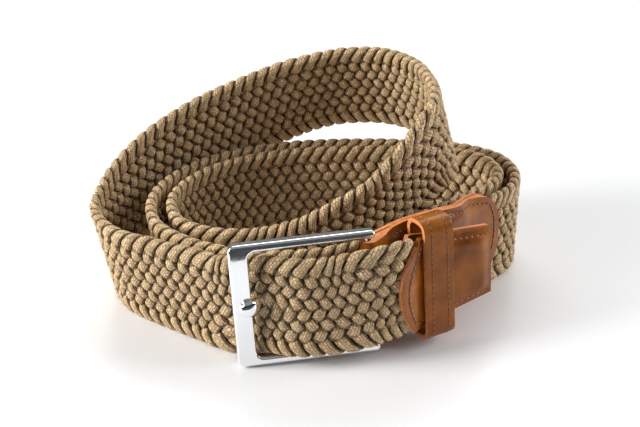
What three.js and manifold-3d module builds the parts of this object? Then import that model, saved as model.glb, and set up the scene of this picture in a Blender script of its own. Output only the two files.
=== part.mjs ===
// A braided belt, fastened and coiled about three times, standing on its lower edge.
// Millimetres, +Z up, X along the coil, -Y towards the buckle's face.
import * as THREE from "three";
import { mergeVertices } from "three/addons/utils/BufferGeometryUtils.js";
import Module from "manifold-3d";

// Strap
const strapWidth = 35;
const strapThickness = 4;
const strapEdgeFlat = 1.6;
const coilReach = 50;
const clearance = 0.3;
const barSlack = 1;

// Buckle frame, measured on its flat front face
const frameLength = 47.2;
const openingSlack = 1.6;
const armHeight = 2.75;
const frameDepth = 4;
const barWidth = 6.3;
const frameCornerRadius = 2.2;
const openingCornerRadius = 2.6;
const frameBevel = 0.5;
const hingePinRadius = 1.5;
const hingePinInset = 2.1;

// How the buckle stands: where its lower left corner is, and how it is turned, tipped and leant
const buckleAcross = -0.534;
const buckleBack = -0.996;
const buckleFoot = 0.15;
const buckleTurn = 8;
const buckleTip = 3;
const buckleLean = -4;

// Prong
const prongHeight = 5.6;
const prongThickness = 1.8;
const prongReach = 3.9;
const prongEyeWall = 1.1;
const prongBend = 2.6;
const prongDip = 2.4;

// Leather
const leatherThickness = 1.1;
const tabHeight = 36.4;
const tabLength = 66;
const tabRounding = 13;
const tipLength = 39.5;
const tipRootHeight = 33.6;
const tipEndHeight = 24.4;
const tipRounding = 7;
const tipSeam = 2.2;
const keeperWidth = 11;
const keeperAt = 6;
const keeperWall = 1.6;
const keeperCornerRadius = 4;
const keeperHeight = 43.2;
const keeperSlack = 0.9;

// Strap inside the leather: how far it stops short, and how much it is pressed together
const strapInset = 3;
const pressedShare = 0.75;
const pressingLength = 9;

// Fineness of the curved solids
const strapStep = 5;
const panelStep = 4;
const panelRows = 12;
const roundSides = 24;
const cornerSides = 5;
const routeStep = 1;
const weldDistance = 1e-4;

const wasm = await Module();
wasm.setup();
const vec = (x, y, z) => new THREE.Vector3(x, y, z);
const rad = THREE.MathUtils.degToRad;

// Solids and geometries

function solidOf(geometry) {
  const bare = geometry.clone();
  bare.deleteAttribute("normal");
  bare.deleteAttribute("uv");
  const merged = mergeVertices(bare, weldDistance);
  return new wasm.Manifold(new wasm.Mesh({
    numProp: 3,
    vertProperties: new Float32Array(merged.attributes.position.array),
    triVerts: new Uint32Array(merged.index.array),
  }));
}

function geometryOf(solid) {
  const mesh = solid.getMesh();
  const geometry = new THREE.BufferGeometry();
  const positions = new Float32Array(mesh.vertProperties);
  geometry.setAttribute("position", new THREE.BufferAttribute(positions, mesh.numProp));
  geometry.setIndex(new THREE.BufferAttribute(new Uint32Array(mesh.triVerts), 1));
  geometry.computeVertexNormals();
  return geometry;
}

// Rings of points, all of one count, joined into a closed skin with a fan at each end
function skin(rings, firstCentre, lastCentre) {
  const count = rings[0].length;
  const positions = [];
  for (const ring of rings) for (const p of ring) positions.push(p.x, p.y, p.z);
  positions.push(firstCentre.x, firstCentre.y, firstCentre.z, lastCentre.x, lastCentre.y, lastCentre.z);
  const first = rings.length * count;
  const last = first + 1;
  const faces = [];
  for (let r = 0; r + 1 < rings.length; r++) {
    for (let j = 0; j < count; j++) {
      const a = r * count + j;
      const b = r * count + (j + 1) % count;
      faces.push(a, b, b + count, a, b + count, a + count);
    }
  }
  const end = (rings.length - 1) * count;
  for (let j = 0; j < count; j++) {
    const k = (j + 1) % count;
    faces.push(first, k, j, last, end + j, end + k);
  }
  const geometry = new THREE.BufferGeometry();
  geometry.setAttribute("position", new THREE.Float32BufferAttribute(positions, 3));
  geometry.setIndex(faces);
  return geometry;
}

// The buckle's own frame: along its length, out of its face, up its height, from its lower left corner

function buckleAxes() {
  const turn = rad(buckleTurn);
  const level = vec(Math.cos(turn), Math.sin(turn), 0);
  const facing = vec(Math.sin(turn), -Math.cos(turn), 0);
  const lean = rad(buckleLean);
  const raised = vec(0, 0, Math.cos(lean)).addScaledVector(facing, Math.sin(lean));
  const out = facing.clone().multiplyScalar(Math.cos(lean)).add(vec(0, 0, -Math.sin(lean)));
  const tip = rad(buckleTip);
  const along = level.clone().multiplyScalar(Math.cos(tip)).addScaledVector(raised, Math.sin(tip));
  const up = raised.clone().multiplyScalar(Math.cos(tip)).addScaledVector(level, -Math.sin(tip));
  return { along, out, up };
}

const buckle = buckleAxes();
const buckleCorner = vec(buckleAcross * coilReach, buckleBack * coilReach, buckleFoot);
const openingHeight = strapWidth + 2 * openingSlack;
const frameHeight = openingHeight + 2 * armHeight;
const frameMiddle = frameHeight / 2;
const hingeAlong = frameLength - hingePinInset;

function byBuckle(along, out, up) {
  return buckleCorner.clone()
    .addScaledVector(buckle.along, along)
    .addScaledVector(buckle.out, out)
    .addScaledVector(buckle.up, up);
}

// Matrix that carries X, Y, Z to the buckle's along, up and out
function buckleMatrix(along, out, up) {
  const turned = new THREE.Matrix4().makeBasis(buckle.along, buckle.up, buckle.out);
  return turned.setPosition(byBuckle(along, out, up));
}

// The strap's route. Each row is a place of its middle line: across and back as shares of the coil's reach,
// rise of the lower edge as a share of the strap's width, and outward lean in degrees.
const coilRows = [
  { across: 0.92, back: -0.31, rise: 0.14, lean: -4 },
  { across: 1.01, back: -0.15, rise: 0.10, lean: -3 },
  { across: 1.12, back: -0.02, rise: 0.05, lean: -1 },
  { across: 1.24, back: 0.10, rise: 0.01, lean: 0 },
  { across: 1.37, back: 0.26, rise: 0.00, lean: 0 },
  { across: 1.43, back: 0.50, rise: 0.00, lean: 0 },
  { across: 1.35, back: 0.76, rise: 0.00, lean: 0 },
  { across: 1.12, back: 0.93, rise: 0.00, lean: 0 },
  { across: 0.72, back: 1.01, rise: 0.00, lean: 0 },
  { across: 0.24, back: 1.03, rise: 0.00, lean: 0 },
  { across: -0.26, back: 0.97, rise: 0.00, lean: 0 },
  { across: -0.74, back: 0.76, rise: 0.00, lean: 2 },
  { across: -1.04, back: 0.43, rise: 0.00, lean: 5 },
  { across: -1.15, back: 0.06, rise: 0.00, lean: 6 },
  { across: -1.08, back: -0.26, rise: 0.00, lean: 6 },
  { across: -0.85, back: -0.52, rise: 0.00, lean: 3 },
  { across: -0.48, back: -0.68, rise: 0.00, lean: 1 },
  { across: -0.12, back: -0.70, rise: 0.00, lean: 0 },
  { across: 0.20, back: -0.60, rise: 0.00, lean: 0 },
  { across: 0.48, back: -0.39, rise: 0.00, lean: 0 },
  { across: 0.72, back: -0.15, rise: 0.00, lean: 0 },
  { across: 1.00, back: 0.09, rise: 0.00, lean: 0 },
  { across: 1.24, back: 0.30, rise: 0.00, lean: 0 },
  { across: 1.31, back: 0.53, rise: 0.00, lean: 0 },
  { across: 1.22, back: 0.75, rise: 0.00, lean: 0 },
  { across: 1.00, back: 0.87, rise: 0.00, lean: 0 },
  { across: 0.60, back: 0.90, rise: 0.00, lean: 0 },
  { across: 0.12, back: 0.89, rise: 0.00, lean: 0 },
  { across: -0.24, back: 0.84, rise: 0.00, lean: 0 },
  { across: -0.64, back: 0.67, rise: 0.00, lean: 1 },
  { across: -0.92, back: 0.38, rise: 0.00, lean: 3 },
  { across: -1.02, back: 0.06, rise: 0.00, lean: 4 },
  { across: -0.93, back: -0.25, rise: 0.00, lean: 3 },
  { across: -0.68, back: -0.40, rise: 0.00, lean: 1 },
  { across: -0.34, back: -0.40, rise: 0.01, lean: 0 },
  { across: 0.00, back: -0.37, rise: 0.15, lean: 2 },
  { across: 0.27, back: -0.30, rise: 0.37, lean: 5 },
  { across: 0.50, back: -0.19, rise: 0.62, lean: 11 },
  { across: 0.66, back: -0.09, rise: 0.87, lean: 9 },
  { across: 0.78, back: 0.03, rise: 1.02, lean: -2 },
  { across: 0.86, back: 0.20, rise: 1.08, lean: -12 },
  { across: 0.86, back: 0.50, rise: 1.10, lean: -16 },
  { across: 0.76, back: 0.84, rise: 1.10, lean: -16 },
  { across: 0.52, back: 1.10, rise: 1.09, lean: -16 },
  { across: 0.20, back: 1.18, rise: 1.05, lean: -15 },
  { across: -0.16, back: 1.12, rise: 0.96, lean: -12 },
  { across: -0.54, back: 1.00, rise: 0.79, lean: -7 },
  { across: -0.92, back: 0.81, rise: 0.60, lean: -1 },
  { across: -1.24, back: 0.55, rise: 0.37, lean: 6 },
  { across: -1.44, back: 0.25, rise: 0.15, lean: 10 },
  { across: -1.50, back: -0.05, rise: 0.02, lean: 11 },
  { across: -1.37, back: -0.32, rise: 0.00, lean: 9 },
  { across: -1.06, back: -0.54, rise: 0.00, lean: 4 },
  { across: -0.79, back: -0.70, rise: 0.01, lean: 0 },
];

// Distances out of the buckle's middle plane: behind its bar, and in front of its hinge pin and tab
const leatherHalf = leatherThickness + clearance + strapThickness * pressedShare / 2;
const behindBar = -(frameDepth / 2 + barSlack + strapThickness / 2);
const wrapRadius = hingePinRadius + clearance + leatherThickness;
const beforePin = wrapRadius + clearance + strapThickness / 2;

// The free end's way through the buckle: shares of the frame's length along it, distance out of its
// plane as a share of how far the strap stands before the hinge pin or behind the bar, and rise above
// the middle as a share of the strap's width
const buckleRows = [
  { along: -0.04, behind: 1.72, before: 0, rise: -0.095, lean: -1 },
  { along: 0.14, behind: 1.00, before: 0, rise: -0.050, lean: -3 },
  { along: 0.28, behind: 0.00, before: 0, rise: -0.032, lean: -4 },
  { along: 0.43, behind: 0, before: 0.77, rise: -0.034, lean: -4 },
  { along: 0.71, behind: 0, before: 0.97, rise: -0.040, lean: -3 },
  { along: 0.98, behind: 0, before: 1.06, rise: 0.015, lean: -2 },
  { along: 1.15, behind: 0, before: 0.55, rise: 0.015, lean: -1 },
];

// Past the buckle the free end runs straight, at this angle to the buckle's length
const tailTurn = -21;
const tailStart = { along: 1.29, before: -0.62, rise: -0.007 };
const tailLength = 28.5;

function buckleRow(row) {
  const out = row.before * beforePin + row.behind * behindBar;
  const place = byBuckle(row.along * frameLength, out, frameMiddle + row.rise * strapWidth);
  return { x: place.x, y: place.y, z: place.z, lean: row.lean };
}

function coilRow(row) {
  const lean = rad(row.lean);
  const halfHeight = strapWidth / 2 * Math.cos(lean) + strapEdgeFlat / 2 * Math.abs(Math.sin(lean));
  const z = row.rise * strapWidth + halfHeight;
  return { x: row.across * coilReach, y: row.back * coilReach, z, lean: row.lean };
}

// A place on the straight stretch, by its distance along it and back from its middle plane
function tailPlace(distance, back) {
  const level = Math.cos(rad(tailTurn));
  const inward = Math.sin(rad(tailTurn));
  const along = tailStart.along * frameLength + distance * level + back * inward;
  const out = tailStart.before * beforePin + distance * inward - back * level;
  return byBuckle(along, out, frameMiddle + tailStart.rise * strapWidth);
}

// Outward lean of a strap whose crosswise lines stand as the buckle's uprights do, on the straight stretch
const tailFacing = tailPlace(1, 0).sub(tailPlace(0, 0)).cross(vec(0, 0, 1)).normalize();
const tailLean = THREE.MathUtils.radToDeg(Math.asin(buckle.up.dot(tailFacing)));

const stackDepth = 2 * leatherHalf + 3 * clearance + keeperWall + keeperSlack;
const pinMiddle = byBuckle(hingeAlong, 0, frameMiddle);
const tabInKeeper = [-0.5, 0.5].map((share) => tailPlace(keeperAt + share * keeperWidth, stackDepth));

const routeRows = [
  ...[pinMiddle, ...tabInKeeper].map((place) => ({ x: place.x, y: place.y, z: place.z, lean: tailLean })),
  ...coilRows.map(coilRow),
  ...buckleRows.map(buckleRow),
  ...[0, 0.5, 1].map((share) => {
    const place = tailPlace(share * tailLength, 0);
    return { x: place.x, y: place.y, z: place.z, lean: tailLean };
  }),
];

// A smooth route through rows, read by distance along it
function routeThrough(rows) {
  const keys = ["x", "y", "z", "lean"];
  const knots = [0];
  for (let i = 1; i < rows.length; i++) {
    knots.push(knots[i - 1] + Math.hypot(rows[i].x - rows[i - 1].x, rows[i].y - rows[i - 1].y));
  }
  const end = rows.length - 1;
  const slopes = rows.map((row, i) => {
    const prior = Math.max(i - 1, 0);
    const next = Math.min(i + 1, end);
    const a = knots[i] - knots[prior];
    const b = knots[next] - knots[i];
    const slope = {};
    for (const key of keys) {
      const before = i === 0 ? 0 : (row[key] - rows[prior][key]) / a;
      const after = i === end ? 0 : (rows[next][key] - row[key]) / b;
      slope[key] = i === 0 || i === end ? before + after : (before * b + after * a) / (a + b);
    }
    return slope;
  });
  const read = (k) => {
    let i = knots.findIndex((knot, n) => n > 0 && k <= knot) - 1;
    if (i < 0) i = k <= 0 ? 0 : rows.length - 2;
    const h = knots[i + 1] - knots[i];
    const u = (k - knots[i]) / h;
    const value = {};
    for (const key of keys) {
      value[key] = (2 * u ** 3 - 3 * u ** 2 + 1) * rows[i][key]
        + (u ** 3 - 2 * u ** 2 + u) * h * slopes[i][key]
        + (3 * u ** 2 - 2 * u ** 3) * rows[i + 1][key]
        + (u ** 3 - u ** 2) * h * slopes[i + 1][key];
    }
    return value;
  };
  const samples = [];
  const total = knots[knots.length - 1];
  const count = Math.ceil(total / routeStep);
  for (let n = 0; n <= count; n++) {
    const value = read(total * n / count);
    const place = vec(value.x, value.y, value.z);
    const length = n === 0 ? 0 : samples[n - 1].length + place.distanceTo(samples[n - 1].place);
    samples.push({ place, lean: value.lean, length });
  }
  for (let n = 0; n <= count; n++) {
    const ahead = samples[Math.min(n + 1, count)].place;
    const behind = samples[Math.max(n - 1, 0)].place;
    samples[n].tangent = ahead.clone().sub(behind).normalize();
  }
  return samples;
}

const route = routeThrough(routeRows);
const routeLength = route[route.length - 1].length;

// Place, tangent, upward direction across the strap and outward normal, at a distance along the route
function routeFrame(length) {
  let n = route.findIndex((sample) => sample.length >= length);
  if (n <= 0) n = length <= 0 ? 1 : route.length - 1;
  const a = route[n - 1];
  const b = route[n];
  const share = (length - a.length) / (b.length - a.length);
  const place = a.place.clone().lerp(b.place, share);
  const tangent = a.tangent.clone().lerp(b.tangent, Math.min(Math.max(share, 0), 1)).normalize();
  const lean = rad(a.lean + (b.lean - a.lean) * Math.min(Math.max(share, 0), 1));
  const facing = tangent.clone().cross(vec(0, 0, 1)).normalize();
  const upright = facing.clone().cross(tangent);
  const across = upright.clone().multiplyScalar(Math.cos(lean)).addScaledVector(facing, Math.sin(lean));
  const normal = facing.multiplyScalar(Math.cos(lean)).addScaledVector(upright, -Math.sin(lean));
  return { place, tangent, across, normal };
}

function onRoute(length, across, out) {
  const frame = routeFrame(length);
  return frame.place.clone().addScaledVector(frame.across, across).addScaledVector(frame.normal, out);
}

// Outline of a strap's section: across and out, with rounded edges that keep a narrow flat
function strapSection(width, thickness) {
  const half = width / 2;
  const side = thickness / 2;
  const flat = Math.min(strapEdgeFlat / 2, side);
  const round = side - flat;
  const quarter = Math.SQRT1_2;
  const corner = [
    [half - round, side],
    [half - round * (1 - quarter), flat + round * quarter],
    [half, flat],
  ];
  const turned = corner.map(([across, out]) => [across, -out]).reverse();
  const upper = [...corner, ...turned];
  return [...upper, ...upper.map(([across, out]) => [-across, -out])];
}

// A bar of a given section swept from one distance to another, with its stations at whole steps of the route
function sweep(from, to, step, sectionAt) {
  const stations = [from];
  for (let n = Math.floor(from / step) + 1; n * step < to; n++) stations.push(n * step);
  stations.push(to);
  const rings = stations.map((length) => (
    sectionAt(length).map(([across, out]) => onRoute(length, across, out)).reverse()
  ));
  return skin(rings, onRoute(from, 0, 0), onRoute(to, 0, 0));
}

// How far an end is cut back at a level: nothing at the middle, and all of it at the edges
const square = () => 0;
const bowed = (reach) => (level) => reach * level ** 2;
const rounded = (reach) => (level) => reach * (1 - Math.sqrt(1 - level ** 2));

// A leather block along the route: its start and end can be cut back, and its height can change
function block(from, to, heightAt, half, cutStart, cutEnd) {
  const outline = [];
  const levelAt = (j) => Math.cos(Math.PI * j / panelRows);
  for (let j = 0; j <= panelRows; j++) outline.push([levelAt(j), -1]);
  for (let j = 0; j <= panelRows; j++) outline.push([-levelAt(j), 1]);
  const count = Math.ceil((to - from) / panelStep);
  const rings = [];
  for (let n = 0; n <= count; n++) {
    rings.push(outline.map(([level, side]) => {
      const start = from + cutStart(level);
      const end = to - cutEnd(level);
      const length = start + (end - start) * n / count;
      return onRoute(length, level * heightAt(length) / 2, side * half);
    }));
  }
  return skin(rings.map((ring) => ring.reverse()), onRoute(from, 0, 0), onRoute(to, 0, 0));
}

// Upright round bar in the buckle's frame
function buckleRound(radius, along, out, up, length) {
  const geometry = new THREE.CylinderGeometry(radius, radius, length, roundSides);
  return geometry.applyMatrix4(buckleMatrix(along, out, up));
}

// Strap

const strapFrom = wrapRadius + strapInset;
const strapTo = routeLength - strapInset;
const tipFrom = routeLength - tipLength;

function tipHeightAt(length) {
  const share = (length - tipFrom) / tipLength;
  return tipRootHeight + (tipEndHeight - tipRootHeight) * share;
}

function pressing(length) {
  const intoTab = THREE.MathUtils.smoothstep(tabLength - length, 0, pressingLength);
  const intoTip = THREE.MathUtils.smoothstep(length - tipFrom, tipSeam, tipSeam + tipRounding);
  return Math.max(intoTab, intoTip);
}

function strapWidthAt(length) {
  const pressed = pressing(length);
  const limit = length > routeLength / 2 ? tipHeightAt(Math.max(length, tipFrom)) : tabHeight;
  return strapWidth + (limit - 2 * tipSeam - strapWidth) * pressed;
}

function strapThicknessAt(length) {
  return strapThickness * (1 + (pressedShare - 1) * pressing(length));
}

function plainStrap(extra, from, to) {
  return sweep(from, to, strapStep, (length) => strapSection(
    strapWidthAt(length) + 2 * extra,
    strapThicknessAt(length) + 2 * extra,
  ));
}

// Buckle: a frame open at the tab's end, with round-ended arms joined by the hinge pin

function frameOutline() {
  const shape = new THREE.Shape();
  const r = frameCornerRadius;
  const armEnd = armHeight / 2;
  const q = openingCornerRadius;
  shape.moveTo(r, 0);
  shape.lineTo(frameLength - armEnd, 0);
  shape.absarc(frameLength - armEnd, armEnd, armEnd, -Math.PI / 2, Math.PI / 2, false);
  shape.lineTo(barWidth + q, armHeight);
  shape.absarc(barWidth + q, armHeight + q, q, -Math.PI / 2, -Math.PI, true);
  shape.lineTo(barWidth, frameHeight - armHeight - q);
  shape.absarc(barWidth + q, frameHeight - armHeight - q, q, Math.PI, Math.PI / 2, true);
  shape.lineTo(frameLength - armEnd, frameHeight - armHeight);
  shape.absarc(frameLength - armEnd, frameHeight - armEnd, armEnd, -Math.PI / 2, Math.PI / 2, false);
  shape.lineTo(r, frameHeight);
  shape.absarc(r, frameHeight - r, r, Math.PI / 2, Math.PI, false);
  shape.lineTo(0, r);
  shape.absarc(r, r, r, Math.PI, Math.PI * 1.5, false);
  return shape;
}

function buckleFrame() {
  const plate = new THREE.ExtrudeGeometry(frameOutline(), {
    depth: frameDepth - 2 * frameBevel,
    bevelThickness: frameBevel,
    bevelSize: frameBevel,
    bevelOffset: -frameBevel,
    bevelSegments: 1,
    curveSegments: cornerSides,
  });
  plate.translate(0, 0, frameBevel - frameDepth / 2);
  plate.applyMatrix4(buckleMatrix(0, 0, 0));
  const pin = buckleRound(hingePinRadius, hingeAlong, 0, frameMiddle, frameHeight - armHeight);
  return solidOf(plate).add(solidOf(pin));
}

// Prong: a flat bar with a round end that lies on the buckle's bar, and an eye round the hinge pin

const prongTip = barWidth - prongReach + prongHeight / 2;
const prongOnBar = frameDepth / 2 + clearance + prongThickness / 2;

// A line of places along and out of the buckle, made a given thickness with mitred bends
function thickLine(places, thickness) {
  const points = places.map(([along, out]) => new THREE.Vector2(along, out));
  const sides = points.map((point, i) => {
    const before = point.clone().sub(points[Math.max(i - 1, 0)]).normalize();
    const after = points[Math.min(i + 1, points.length - 1)].clone().sub(point).normalize();
    const whole = before.clone().add(after).normalize();
    const mitre = thickness / 2 / whole.dot(i === 0 ? after : before);
    return new THREE.Vector2(-whole.y, whole.x).multiplyScalar(mitre);
  });
  const upper = points.map((point, i) => point.clone().add(sides[i]));
  const lower = points.map((point, i) => point.clone().sub(sides[i]));
  return new THREE.Shape([...lower, ...upper.reverse()]);
}

function prongBar(extra) {
  const height = prongHeight + 2 * extra;
  const thickness = prongThickness + 2 * extra;
  const past = barWidth + prongThickness / 2;
  const end = hingeAlong - hingePinRadius - clearance - prongEyeWall / 2;
  const line = [
    [prongTip - height, prongOnBar],
    [past, prongOnBar],
    [past + prongBend, -prongDip],
    [end, 0],
  ];
  const outlined = thickLine(line, thickness);
  const profile = new THREE.ExtrudeGeometry(outlined, { depth: height, bevelEnabled: false });
  profile.translate(0, 0, -height / 2);
  profile.rotateX(Math.PI / 2);
  const outline = new THREE.Shape();
  outline.moveTo(end, -height / 2);
  outline.lineTo(end, height / 2);
  outline.lineTo(prongTip, height / 2);
  outline.absarc(prongTip, 0, height / 2, Math.PI / 2, Math.PI * 1.5, false);
  const depth = 4 * frameDepth;
  const rounding = { depth, bevelEnabled: false, curveSegments: roundSides };
  const round = new THREE.ExtrudeGeometry(outline, rounding);
  round.translate(0, 0, -depth / 2);
  const matrix = buckleMatrix(0, 0, frameMiddle);
  return solidOf(profile.applyMatrix4(matrix)).intersect(solidOf(round.applyMatrix4(matrix)));
}

function prongEye(extra) {
  const outer = hingePinRadius + clearance + prongEyeWall + extra;
  return solidOf(buckleRound(outer, hingeAlong, 0, frameMiddle, prongHeight + 2 * extra));
}

function prong() {
  const bore = solidOf(buckleRound(hingePinRadius + clearance, hingeAlong, 0, frameMiddle, 2 * prongHeight));
  return prongBar(0).add(prongEye(0)).subtract(bore);
}

// Leather tab: folded round the hinge pin, closed over the strap's fixed end

function tab() {
  const body = solidOf(block(0, tabLength, () => tabHeight, leatherHalf, square, rounded(tabRounding)));
  const fold = solidOf(buckleRound(wrapRadius, hingeAlong, 0, frameMiddle, tabHeight));
  const bore = solidOf(buckleRound(hingePinRadius + clearance, hingeAlong, 0, frameMiddle, 2 * tabHeight));
  const pocket = solidOf(plainStrap(clearance, strapFrom - clearance, tabLength + strapInset));
  const slot = prongBar(clearance).add(prongEye(clearance));
  return body.add(fold).subtract(bore).subtract(pocket).subtract(slot);
}

// Leather tip: a closed sleeve over the strap's free end, narrowing to a squared end

function tip() {
  const body = solidOf(block(tipFrom, routeLength, tipHeightAt, leatherHalf, bowed(tipRounding), square));
  const pocket = solidOf(plainStrap(clearance, tipFrom - strapInset, strapTo + clearance));
  return body.subtract(pocket);
}

// Keeper: a leather loop round the tip, sewn to the tab's face

function roundedBox(width, height, radius, path) {
  const x = width / 2;
  const y = height / 2;
  path.moveTo(radius - x, -y);
  path.absarc(x - radius, radius - y, radius, -Math.PI / 2, 0, false);
  path.absarc(x - radius, y - radius, radius, 0, Math.PI / 2, false);
  path.absarc(radius - x, y - radius, radius, Math.PI / 2, Math.PI, false);
  path.absarc(radius - x, radius - y, radius, Math.PI, Math.PI * 1.5, false);
  path.closePath();
  return path;
}

function keeper() {
  const depth = 2 * leatherHalf + 2 * clearance + keeperSlack;
  const height = keeperHeight - 2 * keeperWall;
  const outer = new THREE.Shape();
  const shape = roundedBox(depth + 2 * keeperWall, keeperHeight, keeperCornerRadius, outer);
  shape.holes.push(roundedBox(depth, height, keeperCornerRadius - keeperWall, new THREE.Path()));
  const band = { depth: keeperWidth, bevelEnabled: false, curveSegments: cornerSides };
  const loop = new THREE.ExtrudeGeometry(shape, band);
  const along = tailPlace(tailLength, 0).sub(tailPlace(0, 0)).normalize();
  const back = tailPlace(0, 1).sub(tailPlace(0, 0)).normalize();
  const up = back.clone().cross(along).normalize();
  const sideways = up.clone().cross(along).normalize();
  const middle = tailPlace(keeperAt - keeperWidth / 2, keeperSlack / 2);
  loop.applyMatrix4(new THREE.Matrix4().makeBasis(sideways, up, along).setPosition(middle));
  return solidOf(loop);
}

// Assembly

const strapMaterial = new THREE.MeshStandardMaterial({ color: 0x8a7350, roughness: 0.9, metalness: 0 });
const leatherMaterial = new THREE.MeshStandardMaterial({ color: 0x7a431f, roughness: 0.35, metalness: 0 });
const metalMaterial = new THREE.MeshStandardMaterial({ color: 0xd8dade, roughness: 0.12, metalness: 1 });

function piece(name, solid, material) {
  const mesh = new THREE.Mesh(geometryOf(solid), material.clone());
  mesh.name = name;
  return mesh;
}

const strapSolid = solidOf(plainStrap(0, strapFrom, strapTo)).subtract(prongBar(clearance));
const belt = new THREE.Group();
belt.add(
  piece("braided_strap", strapSolid, strapMaterial),
  piece("buckle_frame", buckleFrame(), metalMaterial),
  piece("prong", prong(), metalMaterial),
  piece("buckle_tab", tab(), leatherMaterial),
  piece("strap_tip", tip(), leatherMaterial),
  piece("keeper_loop", keeper(), leatherMaterial),
);

// The origin is under the middle of the whole belt, on the surface that it stands on
const extent = new THREE.Box3().setFromObject(belt);
const centre = extent.getCenter(vec(0, 0, 0));
belt.position.set(-centre.x, -centre.y, -extent.min.z);
belt.updateMatrixWorld(true);

export default belt;
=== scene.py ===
# A braided belt with a framed prong buckle, coiled on a white table.
# The route, the buckle and the leather are worked out in millimetres,
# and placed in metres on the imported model.
import math
import random

import bpy
import numpy as np
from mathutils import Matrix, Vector

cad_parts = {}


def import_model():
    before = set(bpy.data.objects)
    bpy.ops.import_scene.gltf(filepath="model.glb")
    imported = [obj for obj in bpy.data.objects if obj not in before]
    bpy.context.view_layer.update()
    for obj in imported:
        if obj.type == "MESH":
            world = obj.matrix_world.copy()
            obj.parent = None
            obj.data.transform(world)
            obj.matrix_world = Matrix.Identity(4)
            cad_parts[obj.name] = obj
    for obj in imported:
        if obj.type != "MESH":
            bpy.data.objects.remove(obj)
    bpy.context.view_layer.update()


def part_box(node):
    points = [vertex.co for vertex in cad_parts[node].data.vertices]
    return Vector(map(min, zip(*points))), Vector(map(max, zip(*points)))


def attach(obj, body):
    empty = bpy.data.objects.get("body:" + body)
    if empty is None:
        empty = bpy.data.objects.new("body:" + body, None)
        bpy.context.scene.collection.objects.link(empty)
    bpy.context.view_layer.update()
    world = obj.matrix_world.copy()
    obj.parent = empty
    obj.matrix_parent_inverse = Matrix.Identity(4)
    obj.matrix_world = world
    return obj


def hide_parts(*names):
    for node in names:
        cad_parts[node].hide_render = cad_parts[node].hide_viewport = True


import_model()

MM = 0.001

# Strap and leather sizes, as in the part
STRAP_WIDTH = 35
STRAP_THICKNESS = 4
STRAP_EDGE_FLAT = 1.6
COIL_REACH = 50
CLEARANCE = 0.3
BAR_SLACK = 1
OPENING_SLACK = 1.6
FRAME_LENGTH = 47.2
ARM_HEIGHT = 2.75
FRAME_DEPTH = 4
BAR_WIDTH = 6.3
FRAME_CORNER = 2.2
OPENING_CORNER = 2.6
PIN_RADIUS = 1.5
PIN_INSET = 2.1
BUCKLE_PLACE = (-0.534, -0.996, 0.15)
BUCKLE_TURN = 8
BUCKLE_TIP = 3
BUCKLE_LEAN = -4
PRONG_HEIGHT = 5.6
PRONG_THICKNESS = 1.8
PRONG_REACH_ON_BAR = 3.9
PRONG_EYE_WALL = 1.1
PRONG_BEND = 2.6
PRONG_DIP = 2.4
LEATHER = 1.1
TAB_HEIGHT = 36.4
TAB_LENGTH = 66
TAB_ROUNDING = 13
TIP_LENGTH = 39.5
TIP_ROOT_HEIGHT = 35.2
TIP_END_HEIGHT = 24.4
TIP_ROUNDING = 7
TIP_SEAM = 2.2
KEEPER_WIDTH = 11
KEEPER_AT = 6
KEEPER_WALL = 1.6
KEEPER_CORNER = 4
KEEPER_HEIGHT = 43.2
KEEPER_SLACK = 0.9
PRESSED_SHARE = 0.75
PRESSING_LENGTH = 9

# The strap's route: across, back, rise of the lower edge, lean
COIL_ROWS = [
    (0.92, -0.31, 0.14, -4), (1.01, -0.15, 0.10, -3), (1.12, -0.02, 0.05, -1), (1.24, 0.10, 0.01, 0),
    (1.37, 0.26, 0.00, 0), (1.43, 0.50, 0.00, 0), (1.35, 0.76, 0.00, 0), (1.12, 0.93, 0.00, 0),
    (0.72, 1.01, 0.00, 0), (0.24, 1.03, 0.00, 0), (-0.26, 0.97, 0.00, 0), (-0.74, 0.76, 0.00, 2),
    (-1.04, 0.43, 0.00, 5), (-1.15, 0.06, 0.00, 6), (-1.08, -0.26, 0.00, 6), (-0.85, -0.52, 0.00, 3),
    (-0.48, -0.68, 0.00, 1), (-0.12, -0.70, 0.00, 0), (0.20, -0.60, 0.00, 0), (0.48, -0.39, 0.00, 0),
    (0.72, -0.15, 0.00, 0), (1.00, 0.09, 0.00, 0), (1.24, 0.30, 0.00, 0), (1.31, 0.53, 0.00, 0),
    (1.22, 0.75, 0.00, 0), (1.00, 0.87, 0.00, 0), (0.60, 0.90, 0.00, 0), (0.12, 0.89, 0.00, 0),
    (-0.24, 0.84, 0.00, 0), (-0.64, 0.67, 0.00, 1), (-0.92, 0.38, 0.00, 3), (-1.02, 0.06, 0.00, 4),
    (-0.93, -0.25, 0.00, 3), (-0.68, -0.40, 0.00, 1), (-0.34, -0.40, 0.01, 0), (0.00, -0.37, 0.15, 2),
    (0.27, -0.30, 0.37, 5), (0.50, -0.19, 0.62, 11), (0.66, -0.09, 0.87, 9), (0.78, 0.03, 1.02, -2),
    (0.86, 0.20, 1.08, -12), (0.86, 0.50, 1.10, -16), (0.76, 0.84, 1.10, -16), (0.52, 1.10, 1.09, -16),
    (0.20, 1.18, 1.05, -15), (-0.16, 1.12, 0.96, -12), (-0.54, 1.00, 0.79, -7), (-0.92, 0.81, 0.60, -1),
    (-1.24, 0.55, 0.37, 6), (-1.44, 0.25, 0.15, 10), (-1.50, -0.05, 0.02, 11), (-1.37, -0.32, 0.00, 9),
    (-1.06, -0.54, 0.00, 4), (-0.79, -0.70, 0.01, 0),
]

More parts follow.
